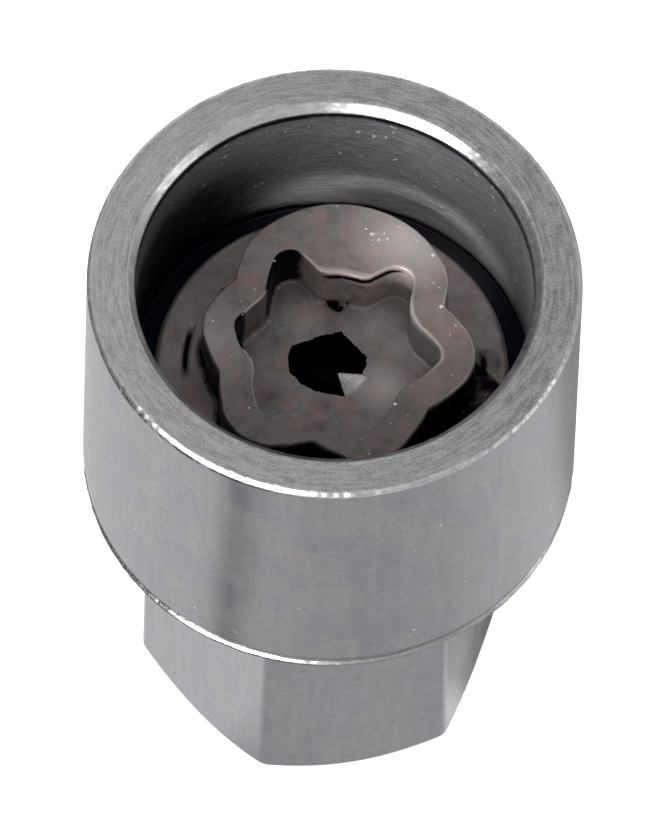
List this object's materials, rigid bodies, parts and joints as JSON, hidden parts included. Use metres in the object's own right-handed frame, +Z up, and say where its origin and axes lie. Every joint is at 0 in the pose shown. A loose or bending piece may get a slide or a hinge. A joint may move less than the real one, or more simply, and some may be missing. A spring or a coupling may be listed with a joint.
{
  "type": "locking wheel nut key",
  "caption": "Short socket key for a locking wheel nut: a round plated cup with a coded wavy rib on an insert in its floor, above a hexagon drive for a wheel brace.",
  "frame": {"origin": "centre of the hexagon's end face, on which the key stands", "axes": "+Z up the axis to the mouth of the cup, +X through a corner of the hexagon"},
  "size_m": [0.029, 0.029, 0.041],
  "materials": {
    "plated_steel": "satin zinc plate over turned steel",
    "sintered_steel": "brown-grey hardened sintered steel"
  },
  "bodies": {
    "root": {"key_body": "plated_steel", "key_insert": "sintered_steel"}
  },
  "joints": []
}
